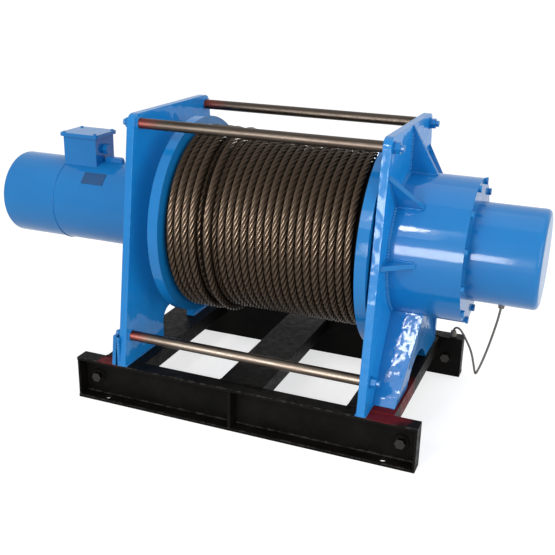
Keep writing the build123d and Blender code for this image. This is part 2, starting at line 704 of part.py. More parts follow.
def motor_bolts():
    head_height = 8.0
    flats = 18.0
    face = -PLATE_OUT - MOTOR_FLANGE
    bolts = []
    for y, z in motor_bolt_places():
        shank = disc(MOTOR_BOLT_RADIUS, face, -PLATE_OUT, y, z)
        bolts.append(shank + hexagon(flats, face - head_height, face, y, z))
    return group(bolts)


def motor_frame():
    return ring(MOTOR_RADIUS, MOTOR_RADIUS - MOTOR_WALL, FAN_SEAM, SHIELD_END)


def end_shield():
    return ring(MOTOR_RADIUS - FAN_COVER_WALL, MOTOR_BEARING_RADIUS, FAN_SEAM - END_SHIELD, FAN_SEAM)


def fan_cover():
    """Sheet cover with rings of air holes in its end."""
    inner = MOTOR_RADIUS - FAN_COVER_WALL
    hole_radius = 6.0
    ring_step = 22.0
    cover = disc(MOTOR_RADIUS, MOTOR_END, FAN_SEAM)
    cover = fillet(cover.edges().sort_by(Axis.X)[0], 3 * FAN_COVER_WALL)
    cover -= disc(inner, MOTOR_END + FAN_COVER_WALL, FAN_SEAM)
    for row in range(1, 5):
        count = 6 * row
        for index in range(count):
            y, z = polar(row * ring_step, 360 * index / count)
            cover -= disc(hole_radius, MOTOR_END, MOTOR_END + FAN_COVER_WALL, y, z)
    return cover


def shaft_bearings():
    """Two motor bearings and the one in the gear cover, each as one ring."""
    bore = SHAFT_RADIUS + RUNNING_CLEARANCE
    rings = []
    for start in (SHIELD_END, FAN_SEAM - END_SHIELD):
        rings.append(ring(MOTOR_BEARING_RADIUS, bore, start, start + MOTOR_BEARING_WIDTH))
    rings.append(ring(BUSH_RADIUS, GEAR_SHAFT_RADIUS + RUNNING_CLEARANCE, HOUSING_END, COVER_END))
    return group(rings)


def stator():
    """Laminated core with the bundled coil ends on both its faces."""
    half = STATOR_LENGTH / 2
    left = STATOR_CENTRE - half
    right = STATOR_CENTRE + half
    inner = ROTOR_RADIUS + FLANGE_GAP
    outer = MOTOR_RADIUS - MOTOR_WALL - FLANGE_GAP
    return group([
        ring(MOTOR_RADIUS - MOTOR_WALL - FIT_CLEARANCE, ROTOR_RADIUS + AIR_GAP, left, right),
        ring(outer, inner, left - WINDING_LENGTH, left),
        ring(outer, inner, right, right + WINDING_LENGTH),
    ])


def rotor():
    half = STATOR_LENGTH / 2
    return ring(ROTOR_RADIUS, SHAFT_RADIUS + FIT_CLEARANCE, STATOR_CENTRE - half, STATOR_CENTRE + half)


def fan_start():
    return (MOTOR_END + FAN_SEAM - END_SHIELD - FAN_LENGTH) / 2


def cooling_fan():
    start = fan_start()
    end = start + FAN_LENGTH
    plate = 4.0
    fan = ring(FAN_HUB, SHAFT_RADIUS + FIT_CLEARANCE, start, end)
    fan += ring(FAN_RADIUS, FAN_HUB - FIT_CLEARANCE, end - plate, end)
    blade = block((start, end), (SHAFT_RADIUS + plate, FAN_RADIUS), (-plate / 2, plate / 2))
    for index in range(FAN_BLADES):
        fan += Pos(0, 0, AXIS_HEIGHT) * Rot(360 * index / FAN_BLADES, 0, 0) * blade
    return fan


def motor_shaft():
    return disc(SHAFT_RADIUS, fan_start(), COUPLING_CENTRE - ROPE_GAP)


def shaft_coupling():
    half = COUPLING_LENGTH / 2
    return ring(COUPLING_RADIUS, SHAFT_RADIUS + FIT_CLEARANCE, COUPLING_CENTRE - half, COUPLING_CENTRE + half)


def terminal_box():
    """Open box saddled on the motor frame, with its lid and two plugged entries as separate pieces."""
    half = BOX_LENGTH / 2
    width = (-BOX_WIDTH / 2, BOX_WIDTH / 2)
    body = block((BOX_CENTRE - half, BOX_CENTRE + half), width, (AXIS_HEIGHT, BOX_TOP))
    body -= disc(MOTOR_RADIUS, BOX_CENTRE - half, BOX_CENTRE + half)
    floor = AXIS_HEIGHT + MOTOR_RADIUS + BOX_WALL
    inside = half - BOX_WALL
    side = BOX_WIDTH / 2 - BOX_WALL
    body -= block((BOX_CENTRE - inside, BOX_CENTRE + inside), (-side, side), (floor, BOX_TOP))
    return body


def terminal_lid():
    half = BOX_LENGTH / 2 + LID_OVERHANG
    side = BOX_WIDTH / 2 + LID_OVERHANG
    lid = block((BOX_CENTRE - half, BOX_CENTRE + half), (-side, side), (BOX_TOP, BOX_TOP + LID_THICKNESS))
    return fillet(lid.edges().filter_by(Axis.Z), LID_OVERHANG)


def entry_plugs():
    """Hex plugs in the two cable entries of the terminal box."""
    flats = 26.0
    length = 14.0
    z = (AXIS_HEIGHT + MOTOR_RADIUS + BOX_TOP) / 2
    half = BOX_LENGTH / 2
    left = hexagon(flats, BOX_CENTRE - half - length, BOX_CENTRE - half, 0, z)
    right = hexagon(flats, BOX_CENTRE + half, BOX_CENTRE + half + length, 0, z)
    return group([left, right])


def lifting_lug():
    """Low cast eye on top of the motor frame."""
    top = AXIS_HEIGHT + MOTOR_RADIUS + LUG_HEIGHT
    half = LUG_LENGTH / 2
    width = (-LUG_THICKNESS / 2, LUG_THICKNESS / 2)
    lug = block((LUG_CENTRE - half, LUG_CENTRE + half), width, (AXIS_HEIGHT, top))
    lug = fillet(lug.edges().filter_by(Axis.Y).sort_by(Axis.Z)[-2:], LUG_ROUND)
    return lug - disc(MOTOR_RADIUS, LUG_CENTRE - half, LUG_CENTRE + half)


def nameplate():
    """Bare plate curved to the motor frame."""
    start = PLATE_LABEL_CENTRE - PLATE_LABEL_LENGTH / 2
    shell = ring(MOTOR_RADIUS + PLATE_LABEL_THICKNESS, MOTOR_RADIUS, start, start + PLATE_LABEL_LENGTH)
    reach = 2 * MOTOR_RADIUS
    wedge = [(0, 0)]
    for degrees in PLATE_LABEL_ANGLES:
        turn = math.radians(degrees)
        wedge.append((reach * math.cos(turn), reach * math.sin(turn)))
    return shell & extrude(across(start) * Polygon(*wedge, align=None), PLATE_LABEL_LENGTH)


# Input shaft and brake
def input_shaft():
    body = disc(SHAFT_RADIUS, COUPLING_CENTRE + ROPE_GAP, PLATE_IN)
    return body + disc(GEAR_SHAFT_RADIUS, PLATE_IN, BACKPLATE_END)


def shaft_bushes():
    bore = SHAFT_RADIUS + RUNNING_CLEARANCE
    starts = (DRUM_LEFT - FLANGE_THICKNESS, DRUM_RIGHT)
    return group(ring(BUSH_RADIUS, bore, start, start + FLANGE_THICKNESS) for start in starts)


def brake_magnet():
    return ring(MAGNET_RADIUS, BUSH_RADIUS, MAGNET_START, MAGNET_END)


def brake_armature():
    return ring(BRAKE_DISC_RADIUS, BUSH_RADIUS, ARMATURE_START, ARMATURE_START + ARMATURE_THICKNESS)


def brake_disc():
    bore = GEAR_SHAFT_RADIUS + FIT_CLEARANCE
    return ring(BRAKE_DISC_RADIUS, bore, DISC_START, DISC_START + BRAKE_DISC_THICKNESS)


def brake_backplate():
    """Fixed plate behind the brake disc, with the studs that hold it to the magnet."""
    solids = [ring(MAGNET_RADIUS, BUSH_RADIUS, BACKPLATE_START, BACKPLATE_END)]
    for degrees in planet_angles():
        y, z = polar(STUD_CIRCLE, degrees)
        solids.append(disc(STUD_RADIUS, MAGNET_END, BACKPLATE_START, y, z))
    return group(solids)


def make_parts():
    sun_clear = GEAR_SHAFT_RADIUS + BRAKE_CLEARANCE
    parts = {
        "front_channel": channel(-1),
        "rear_channel": channel(1),
        "cross_beams": group(cross_beam(x) for x in (-BEAM_SPACING, 0, BEAM_SPACING)),
        "channel_stiffeners": stiffeners(),
        "channel_bolts": web_bolts(),
        "left_side_plate": side_plate(-PLATE_OUT),
        "right_side_plate": side_plate(PLATE_IN),
        "left_foot_doublers": foot_doublers(),
        "tie_rods": group(tie_rod(y, z) for y, z in rod_places().values()),
        "tie_rod_nuts": rod_nuts(),
        "left_drum_flange": drum_flange(DRUM_LEFT, -1, -PLATE_OUT - JOURNAL_REACH),
        "right_drum_flange": drum_flange(DRUM_RIGHT, 1, CARRIER_TWO),
        "drum_barrel": ring(BARREL_RADIUS, BARREL_RADIUS - BARREL_WALL, DRUM_LEFT, DRUM_RIGHT),
        "rope_core": rope_core(),
        "rope_winding": rope_winding(),
        "rope_clamp": rope_clamp(),
        "bearing_outer_races": group(bearing_rings(BEARING_SEAT, BEARING_OUTER) + bearing_balls()),
        "bearing_inner_races": group(bearing_rings(BEARING_INNER, JOURNAL_RADIUS)),
        "shaft_bushes": shaft_bushes(),
        "input_shaft": input_shaft(),
        "first_sun_gear": external_gear(SUN_TEETH, STAGE_ONE, STAGE_ONE + GEAR_WIDTH,
                                        GEAR_SHAFT_RADIUS + FIT_CLEARANCE, phase=90),
        "second_sun_gear": external_gear(SUN_TEETH, STAGE_TWO, CARRIER_ONE, sun_clear, phase=90),
        "first_carrier": carrier(CARRIER_ONE, sun_clear),
        "second_carrier": carrier(CARRIER_TWO, JOURNAL_BORE),
        "first_ring_gear": ring_gear(STAGE_ONE),
        "second_ring_gear": ring_gear(STAGE_TWO),
        "gear_housing": gear_housing(),
        "housing_ribs": housing_ribs(),
        "gear_pedestal": pedestal(),
        "gear_end_cover": end_cover(),
        "cover_bolts": cover_bolts(),
        "brake_cap": brake_cap(),
        "brake_magnet": brake_magnet(),
        "brake_armature": brake_armature(),
        "brake_disc": brake_disc(),
        "brake_backplate": brake_backplate(),
        "lead_glands": group([cap_gland(), channel_gland()]),
        "brake_lead": brake_lead(),
        "motor_drive_shield": drive_shield(),
        "motor_flange_bolts": motor_bolts(),
        "motor_frame": motor_frame(),
        "motor_end_shield": end_shield(),
        "fan_cover": fan_cover(),
        "shaft_bearings": shaft_bearings(),
        "motor_stator": stator(),
        "motor_rotor": rotor(),
        "cooling_fan": cooling_fan(),
        "motor_shaft": motor_shaft(),
        "shaft_coupling": shaft_coupling(),
        "terminal_box": terminal_box(),
        "terminal_box_lid": terminal_lid(),
        "terminal_box_plugs": entry_plugs(),
        "motor_lifting_lug": lifting_lug(),
        "motor_nameplate": nameplate(),
    }
    for stage, start in (("first", STAGE_ONE), ("second", STAGE_TWO)):
        for index, degrees in enumerate(planet_angles(), 1):
            parts[f"{stage}_planet_gear_{index}"] = planet(start, degrees)
    return parts


os.makedirs("parts", exist_ok=True)
for name, solid in make_parts().items():
    export_step(solid, f"parts/{name}.step")
print("least gap between rope turns", round(rope_self_gap(), 3))
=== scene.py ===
import json
import math

import bpy
import numpy as np
from mathutils import Matrix, Vector, noise


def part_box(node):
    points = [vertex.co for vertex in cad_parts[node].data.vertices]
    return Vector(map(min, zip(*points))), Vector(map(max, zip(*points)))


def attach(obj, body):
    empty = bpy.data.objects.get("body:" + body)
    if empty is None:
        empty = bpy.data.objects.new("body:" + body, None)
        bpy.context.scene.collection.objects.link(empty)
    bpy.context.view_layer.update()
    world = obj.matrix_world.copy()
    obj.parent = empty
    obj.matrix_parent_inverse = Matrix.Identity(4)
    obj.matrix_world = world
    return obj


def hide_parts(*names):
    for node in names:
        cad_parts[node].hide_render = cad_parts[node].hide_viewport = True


# Electric winch in metres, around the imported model. X runs along the drum axis towards the gear end,
# Y to the rear and Z up.

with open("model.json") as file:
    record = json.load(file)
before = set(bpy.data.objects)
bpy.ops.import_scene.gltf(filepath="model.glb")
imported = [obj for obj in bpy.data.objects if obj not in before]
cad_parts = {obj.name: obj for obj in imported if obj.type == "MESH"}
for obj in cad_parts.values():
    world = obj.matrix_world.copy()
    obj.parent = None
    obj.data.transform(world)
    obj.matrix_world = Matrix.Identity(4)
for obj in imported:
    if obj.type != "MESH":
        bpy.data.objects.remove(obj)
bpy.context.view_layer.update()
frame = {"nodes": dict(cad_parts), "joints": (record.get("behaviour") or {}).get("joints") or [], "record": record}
scene = bpy.context.scene
nodes = frame["nodes"]

# Places read from the frame
drum_joint = next(joint for joint in frame["joints"] if joint["name"] == "drum_spin")
AXIS_HEIGHT = drum_joint["pos_m"][2]
DRUM_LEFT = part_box("left_drum_flange")[1].x
DRUM_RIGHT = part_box("right_drum_flange")[0].x
ROPE_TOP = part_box("rope_winding")[1].z
RAIL_END, RAIL_FACE, RAIL_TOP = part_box("rear_channel")[1]
plate_low, plate_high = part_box("right_side_plate")
PLATE_INSIDE = plate_low.x
PLATE_OUTSIDE = plate_high.x
PLATE_FOOT = plate_high.y
HOUSING_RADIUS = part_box("gear_housing")[1].y
motor_low, motor_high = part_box("motor_frame")
FAN_SEAM = motor_low.x
MOTOR_RADIUS = motor_high.y

# Camera
CAMERA_PLACE = (0.8080, -2.0492, 1.1313)
CAMERA_YAW = 0.3794
CAMERA_PITCH = 0.3507
CAMERA_ROLL = 0.0220
CAMERA_LENS = 55.14

# Points that lamps face
OBJECT_MIDDLE = (0.0, 0.0, 0.45)
ROPE_FRONT = (0.0, -0.24, 0.53)
ROPE_REAR = (0.0, 0.24, 0.53)

# Lamps that shine on everything
WINDOW_PLACE = (-0.06, -3.14, 0.68)
WINDOW_AIM = (0.42, -0.20, 0.50)
WINDOW_SIZE = (0.75, 0.75)
WINDOW_POWER = 22.0
KEY_PLACE = (-0.9, -3.1, 2.6)
KEY_SIZE = (1.6, 1.2)
KEY_POWER = 18.0
TOP_PLACE = (0.2, 0.6, 3.4)
TOP_SIZE = (3.0, 2.4)
TOP_POWER = 18.0
FILL_PLACE = (3.4, -1.9, 1.5)
FILL_SIZE = (3.2, 2.6)
FILL_POWER = 52.0
PANE_PLACE = (-0.35, -2.78, 2.53)
PANE_AIM = (0.39, -0.20, 0.28)
PANE_SIZE = (0.24, 0.40)
PANE_POWER = 13.0

# Lamps that shine on some pieces only: the glint on the gear end and the rods, the doors on the rope,
# the strip on the rods and the bounce on the side plates
GLINT_POWER = 120.0
GLINT_NODES = ("right_side_plate", "gear_housing", "gear_end_cover", "cover_bolts", "brake_cap",
               "gear_pedestal", "tie_rods")
DOOR_PLACE = (-1.12, -3.0, 0.98)
DOOR_SIZE = (2.4, 0.6)
DOOR_POWER = 1950.0
REAR_DOOR_PLACE = (1.2, 2.9, 1.0)
REAR_DOOR_SIZE = (4.0, 0.8)
REAR_DOOR_POWER = 1700.0
STRIP_PLACE = (-1.12, -3.0, 0.84)
STRIP_SIZE = (0.8, 1.6)
STRIP_POWER = 110.0
BOUNCE_PLACE = (2.2, -1.2, 1.0)
BOUNCE_AIM = (-0.32, -0.10, 0.45)
BOUNCE_SIZE = (1.2, 1.2)
BOUNCE_POWER = 26.0

# World and floor
WHITE = (1.0, 1.0, 1.0, 1.0)
WORLD_STRENGTH = 0.6
FLOOR_HALF = 40.0
FLOOR_COLOUR = (0.55, 0.55, 0.55, 1.0)
FLOOR_ROUGHNESS = 0.9
FLOOR_GLOW = 0.68

# Rope, counted in turns from the motor side, where whole turns lie at the rear
ROPE_DIAMETER = 0.020
ROPE_LAY = 0.116
ROPE_PITCHES = 24
ROPE_SKIP_TURN = 3.75
ROPE_FALL_TURN = 5.0
ROPE_EASE = 0.5
ROPE_SPLIT_TURN = 6.0
ROPE_LAST_TURN = 23.0
ROPE_BURIED_TURNS = (3.1, 5.3)
ROPE_LAYER_RISE = 0.0173
ROPE_END_GAP = 0.0005
ROPE_STEP = 0.006
ROPE_SPAN = DRUM_RIGHT - DRUM_LEFT - ROPE_DIAMETER - 2 * ROPE_END_GAP
ROPE_UPPER_RADIUS = ROPE_TOP - AXIS_HEIGHT - ROPE_DIAMETER / 2
TANGENT_STEP = 1e-4
STRANDS = 6
POINTS_PER_STRAND = 4
STRAND_DEPTH = 0.0026
WIRES_AROUND = 48
WIRE_DEPTH = 0.00007

# Brake lead
LEAD_DIAMETER = 0.006
LEAD_ROUTE = [
    (0.597, 0.000, 0.342),
    (0.592, 0.012, 0.306),
    (0.582, 0.038, 0.256),
    (0.565, 0.080, 0.180),
    (0.548, 0.120, 0.116),
    (0.541, 0.135, 0.094),
    (0.534, 0.149, 0.073),
    (0.530, 0.155, 0.075),
    (0.525, 0.160, 0.092),
    (0.511, 0.182, 0.125),
    (0.490, 0.212, 0.142),
    (0.472, 0.240, 0.153),
    (0.459, 0.258, 0.156),
    (0.447, 0.273, 0.150),
    (0.441, 0.281, 0.139),
    (0.441, 0.281, 0.130),
]

# Turned small pieces: radius and height of each row, from the face that they sit on
SCREW_PROFILE = [(0.0048, -0.0005), (0.0048, 0.0012), (0.0040, 0.0026), (0.0022, 0.0030), (0.0020, 0.0016)]
SCREW_SIDES = 20
LID_SCREW_EDGE = 0.010
RIVET_PROFILE = [(0.0024, -0.0005), (0.0023, 0.0004), (0.0016, 0.0011), (0.0005, 0.0014)]
RIVET_SIDES = 16
RIVET_EDGE = 0.005
RIVET_ANGLES = (127.5, 140.5)
NAMEPLATE_THICKNESS = 0.001
WASHER_PROFILE = [(0.0210, -0.0003), (0.0210, 0.0024), (0.0200, 0.0034), (0.0145, 0.0034), (0.0140, 0.0030),
                  (0.0140, -0.0003)]
WASHER_SIDES = 40
SHARP_ANGLE = math.radians(40)

# Rails and cross beams
RAIL_LIP = 0.008
WEB_FACE = 0.265
WEB_BOLT_END = 0.045
WEB_BOLT_HEIGHT = 0.058
END_PLATE = 0.006
END_PLATE_GAP = 0.0005
END_PLATE_EDGE = 0.0012
BEAM_HALF = 0.060

# Welds, with the radius of each kind of bead and the places where it runs
WELD_STEP = 0.0016
WELD_LEAST_STEPS = 4
WELD_SIDES = 10
NEARLY_ALONG_X = 0.9
WELD_RIPPLE = 0.0075
WELD_DEPTH = 0.13
WELD_ROUGHNESS = 90.0
WELD_ROUGH_SHARE = 1.2
CIRCLE_STEPS = 120
HOUSING_WELD = 0.0065
FOOT_WELD = 0.0042
FOOT_WELD_GAP = 0.002
ARCH_HALF = 0.090
ROD_WELD = 0.0030
ROD_RADIUS = 0.0135
ROD_PLACES = [(-0.183, 0.752), (0.183, 0.752), (-0.262, 0.198), (0.262, 0.198)]
RIB_WELD = 0.0038
RIB_ANGLES = (0, 45, 90, 135, 180)
RIB_REACHES = (0.052, 0.100, 0.100, 0.100, 0.052)
RIB_HALF = 0.006
RIB_DEPTH = 0.064
DOUBLER_WELD = 0.0045
DOUBLER_WELD_INSET = 0.003
BEAM_WELD = 0.0026
FAN_LIP = 0.0022

# Paint
PAINT_SPECULAR = 0.05
BLUE_DARK = (0.006, 0.168, 0.460)
BLUE_LIGHT = (0.009, 0.190, 0.510)
COAT_WEIGHT = 0.5
COAT_ROUGHNESS = 0.06
TURNED_WAVE = 0.0004
PLATE_WAVE = 0.0035
PLATE_EDGE = 0.0025
PEEL_DEPTH = 0.00003
WAVY_NODES = ("left_side_plate", "right_side_plate", "gear_pedestal", "housing_ribs", "left_foot_doublers")
BLACK_DARK = (0.0038, 0.0035, 0.0032)
BLACK_LIGHT = (0.0090, 0.0081, 0.0072)
RAIL_EDGE = 0.002
SCALE_DEPTH = 0.0012
GRAIN_DEPTH = 0.0002
BEVEL_SAMPLES = 6

# Lighter lines along the rails' edges: distance from the middle, height and reach
EDGE_LINE_COLOUR = (0.036, 0.033, 0.030)
EDGE_LINES = [(RAIL_FACE, RAIL_TOP, 0.0022), (WEB_FACE, RAIL_LIP, 0.0030), (RAIL_FACE, RAIL_LIP, 0.0016)]
EDGE_LINE_RAGGED = (-0.0035, 0.0045)
EDGE_LINE_FADE = 0.4

# Primer that shows through the paint: centre and reach of each patch, and the height it starts at
PRIMER = (0.115, 0.010, 0.011)
PRIMER_PATCHES = [
    ((0.380, -0.250, 0.120), 0.075, 0.117),
    ((0.405, -0.120, 0.110), 0.085, 0.030),
    ((-0.375, -0.285, 0.120), 0.040, 0.117),
]
PRIMER_RAGGED = 0.02
PRIMER_FADE = 0.7
PRIMER_STEP = 0.002

# Steel of the rods and the rope, and other metals and plastics
ROD_CLEAN = (0.105, 0.088, 0.072)
ROD_STAINED = (0.055, 0.039, 0.031)
ROD_STAIN_STRETCH = (3.0, 30.0, 30.0)
# Painted shade on the upper rods: its colour, the heights it grows over and its greatest share
ROD_PAINTED_SHADE = (0.034, 0.027, 0.022)
ROD_PAINTED_SHADE_HEIGHTS = (0.3, 0.6)
ROD_PAINTED_SHADE_SHARE = 0.75
ROD_PRIMER = (0.13, 0.030, 0.026)
ROD_PRIMER_ENDS = (-0.24, -0.30)
ROD_PRIMER_RAGGED = 0.03
ROD_PAINT = (0.009, 0.178, 0.48)
ROD_PAINT_STEP = 0.001
ROD_RING_STRETCH = (900.0, 12.0, 12.0)
ROD_RING_DEPTH = 0.00002
ROPE_TINT = (1.0, 0.71, 0.50, 1.0)
ROPE_SPECULAR = 0.16
ROPE_WORN = (0.020, 0.0135, 0.0092)
ROPE_GREASED = (0.009, 0.0062, 0.0042)
# Colour in the valleys between strands: grease, darkened further as painted shade
ROPE_VALLEY_GREASE_AND_SHADE = (0.002, 0.0014, 0.001)
METAL_SHADE = 0.72
METAL_GRAIN_DEPTH = 0.0001
PLASTIC_ROUGH_RANGE = 0.15


# Helpers for meshes
def add_mesh(name, points, faces):
    mesh = bpy.data.meshes.new(name)
    mesh.from_pydata(points, [], faces)
    mesh.update()
    mesh.polygons.foreach_set("use_smooth", [True] * len(mesh.polygons))
    piece = bpy.data.objects.new(name, mesh)
    scene.collection.objects.link(piece)
    return piece


def place_piece(piece, body, slot):
    """Let a piece ride on a body, with the finish of one of the record's material slots."""
    piece.data.materials.append(MATERIALS[slot])
    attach(piece, body)
    return piece


def tube_faces(rings, sides, closed=False):
    """Faces of a tube through rings of points, with an end face at each end unless it closes on itself."""
    faces = []
    for ring in range(rings if closed else rings - 1):
        low = ring * sides
        high = (ring + 1) % rings * sides
        for step in range(sides):
            after = (step + 1) % sides
            faces.append((low + step, low + after, high + after, high + step))
    if not closed:
        faces.append(tuple(range(sides))[::-1])
        faces.append(tuple(range((rings - 1) * sides, rings * sides)))
    return faces


def join_shapes(shapes):
    """Points and faces of several shapes as those of one."""
    all_points, all_faces = [], []
    for points, faces in shapes:
        start = len(all_points)
        all_points += points
        all_faces += [tuple(start + index for index in face) for face in faces]
    return all_points, all_faces


def outward(degrees):
    """Direction away from the drum axis, turned up from the rear."""
    angle = math.radians(degrees)
    return Vector((0, math.cos(angle), math.sin(angle)))


def facing(point, normal):
    """Place whose Z axis points along the normal."""
    return Matrix.Translation(point) @ Vector(normal).to_track_quat("Z", "Y").to_matrix().to_4x4()


# Helpers for materials
def add_node(tree, kind, inputs=None, **settings):
    node = tree.nodes.new("ShaderNode" + kind)
    for key, value in settings.items():
        setattr(node, key, value)
    for key, value in (inputs or {}).items():
        if isinstance(value, bpy.types.NodeSocket):
            tree.links.new(value, node.inputs[key])
        else:
            node.inputs[key].default_value = value
    return node


def start_material(name, **sockets):
    material = bpy.data.materials.new(name)
    material.use_nodes = True
    shader = material.node_tree.nodes["Principled BSDF"]
    for key, value in sockets.items():
        shader.inputs[key.replace("_", " ")].default_value = value
    return material, material.node_tree, shader


def connect(tree, shader, **outputs):
    for key, output in outputs.items():
        tree.links.new(output, shader.inputs[key.replace("_", " ")])


def object_place(tree, stretch=(1.0, 1.0, 1.0)):
    coordinates = add_node(tree, "TexCoord").outputs["Object"]
    return add_node(tree, "Mapping", {"Vector": coordinates, "Scale": stretch}).outputs["Vector"]


def noise_value(tree, place, scale, detail=3.0, roughness=0.5):
    inputs = {"Vector": place, "Scale": scale, "Detail": detail, "Roughness": roughness}
    return add_node(tree, "TexNoise", inputs).outputs["Fac"]


def spread(tree, value, low, high, to_low=0.0, to_high=1.0):
    inputs = {"Value": value, "From Min": low, "From Max": high, "To Min": to_low, "To Max": to_high}
    return add_node(tree, "MapRange", inputs).outputs["Result"]


def mottle(tree, place, scale, detail=3.0, roughness=0.5, low=0.3, high=0.7, to_low=0.0, to_high=1.0):
    """Noise whose range from low to high is spread over another range."""
    return spread(tree, noise_value(tree, place, scale, detail, roughness), low, high, to_low, to_high)


def blend_colour(tree, share, first, second):
    """Mix of two colours, by the node's sockets for colours: inputs 6 and 7, output 2."""
    node = add_node(tree, "Mix", data_type="RGBA")
    for socket, value in ((node.inputs[0], share), (node.inputs[6], first), (node.inputs[7], second)):
        if isinstance(value, bpy.types.NodeSocket):
            tree.links.new(value, socket)
        else:
            socket.default_value = (*value, 1.0)
    return node.outputs[2]


def calculate(tree, operation, first, second=0.0):
    return add_node(tree, "Math", {0: first, 1: second}, operation=operation).outputs[0]


def bump(tree, height, distance, normal=None):
    inputs = {"Height": height, "Distance": distance, "Strength": 1.0}
    if normal is not None:
        inputs["Normal"] = normal
    return add_node(tree, "Bump", inputs).outputs["Normal"]


def rounded_edges(tree, radius):
    return add_node(tree, "Bevel", {"Radius": radius}, samples=BEVEL_SAMPLES).outputs["Normal"]


def edge_line_mask(tree, across, height, ragged, line_across, line_height, reach):
    """1 along one edge of the rails, 0 away from it, with a ragged border."""
    sideways = calculate(tree, "ABSOLUTE", calculate(tree, "SUBTRACT", across, line_across))
    upwards = calculate(tree, "ABSOLUTE", calculate(tree, "SUBTRACT", height, line_height))
    away = calculate(tree, "MAXIMUM", sideways, upwards)
    return spread(tree, calculate(tree, "ADD", away, ragged), reach, reach * EDGE_LINE_FADE)


def patch_mask(tree, centre, reach):
    """1 inside a ragged patch round a point, 0 outside."""
    place = object_place(tree)
    distance = add_node(tree, "VectorMath", {0: place, 1: centre}, operation="DISTANCE").outputs["Value"]
    ragged = mottle(tree, place, scale=45.0, detail=4.0, roughness=0.6, low=0.0, high=1.0,
                    to_low=-PRIMER_RAGGED, to_high=PRIMER_RAGGED)
    return spread(tree, calculate(tree, "ADD", distance, ragged), reach, reach * PRIMER_FADE)


# Materials
def blue_paint(name, wave, edge=0.0):
    """Gloss paint whose surface waves by a height in metres, with edges rounded by a radius."""
    material, tree, shader = start_material(name, Coat_Weight=COAT_WEIGHT, Coat_Roughness=COAT_ROUGHNESS,
                                            Specular_IOR_Level=PAINT_SPECULAR)
    place = object_place(tree)
    cloud = mottle(tree, place, scale=5.0, detail=4.0, roughness=0.55)
    colour = blend_colour(tree, cloud, BLUE_DARK, BLUE_LIGHT)
    rough = mottle(tree, place, scale=30.0, low=0.2, high=0.8, to_low=0.28, to_high=0.44)
    edges = rounded_edges(tree, edge) if edge else None
    waves = bump(tree, noise_value(tree, place, scale=16.0, detail=2.0), wave, edges)
    peel = bump(tree, noise_value(tree, place, scale=420.0, detail=2.0), PEEL_DEPTH, waves)
    connect(tree, shader, Base_Color=colour, Roughness=rough, Normal=peel, Coat_Normal=peel)
    return material


def black_paint():
    """Satin paint over rough steel, with lighter lines along the rails' edges and primer in patches."""
    material, tree, shader = start_material("black_paint", Specular_IOR_Level=PAINT_SPECULAR)
    place = object_place(tree)
    split = add_node(tree, "SeparateXYZ", {"Vector": place}).outputs
    across = calculate(tree, "ABSOLUTE", split["Y"])
    height = split["Z"]
    cloud = mottle(tree, place, scale=14.0, detail=5.0, roughness=0.6, low=0.35, high=0.75)
    colour = blend_colour(tree, cloud, BLACK_DARK, BLACK_LIGHT)
    to_low, to_high = EDGE_LINE_RAGGED
    ragged = mottle(tree, place, scale=70.0, detail=4.0, roughness=0.65, to_low=to_low, to_high=to_high)
    # lighter lines along the rails' edges
    for line in EDGE_LINES:
        colour = blend_colour(tree, edge_line_mask(tree, across, height, ragged, *line), colour, EDGE_LINE_COLOUR)
    for centre, reach, lowest in PRIMER_PATCHES:
        above = spread(tree, height, lowest, lowest + PRIMER_STEP)
        share = calculate(tree, "MULTIPLY", patch_mask(tree, centre, reach), above)
        colour = blend_colour(tree, share, colour, PRIMER)
    rough = mottle(tree, place, scale=60.0, detail=4.0, to_low=0.34, to_high=0.58)
    scale = bump(tree, noise_value(tree, place, scale=26.0), SCALE_DEPTH, rounded_edges(tree, RAIL_EDGE))
    grain = bump(tree, noise_value(tree, place, scale=240.0), GRAIN_DEPTH, scale)
    connect(tree, shader, Base_Color=colour, Roughness=rough, Normal=grain)
    return material


def rod_steel():
    """Turned steel, stained along the rods, with primer towards the motor, paint on the ends outside the side
    plates, and painted shade that darkens the upper rods."""
    material, tree, shader = start_material("rod_steel")
    place = object_place(tree)
    split = add_node(tree, "SeparateXYZ", {"Vector": place}).outputs
    along = object_place(tree, ROD_STAIN_STRETCH)
    stain = mottle(tree, along, scale=2.2, detail=4.0, roughness=0.6, low=0.42, high=0.68)
    by_height = spread(tree, split["Z"], *ROD_PAINTED_SHADE_HEIGHTS, to_high=ROD_PAINTED_SHADE_SHARE)
    ragged = calculate(tree, "MULTIPLY", stain, ROD_PRIMER_RAGGED)
    primed = spread(tree, calculate(tree, "ADD", split["X"], ragged), *ROD_PRIMER_ENDS)
    from_middle = calculate(tree, "ABSOLUTE", split["X"])
    painted = spread(tree, from_middle, PLATE_OUTSIDE, PLATE_OUTSIDE + ROD_PAINT_STEP)
    colour = blend_colour(tree, stain, ROD_CLEAN, ROD_STAINED)
    # painted shade that darkens the upper rods
    colour = blend_colour(tree, by_height, colour, ROD_PAINTED_SHADE)
    colour = blend_colour(tree, primed, colour, ROD_PRIMER)
    colour = blend_colour(tree, painted, colour, ROD_PAINT)
    metallic = spread(tree, painted, low=0.0, high=1.0, to_low=1.0, to_high=0.0)
    rough = mottle(tree, place, scale=40.0, detail=4.0, to_low=0.34, to_high=0.46)
    rings = noise_value(tree, object_place(tree, ROD_RING_STRETCH), scale=1.0, detail=2.0)
    turning = bump(tree, rings, ROD_RING_DEPTH)
    connect(tree, shader, Base_Color=colour, Metallic=metallic, Roughness=rough, Normal=turning)
    return material


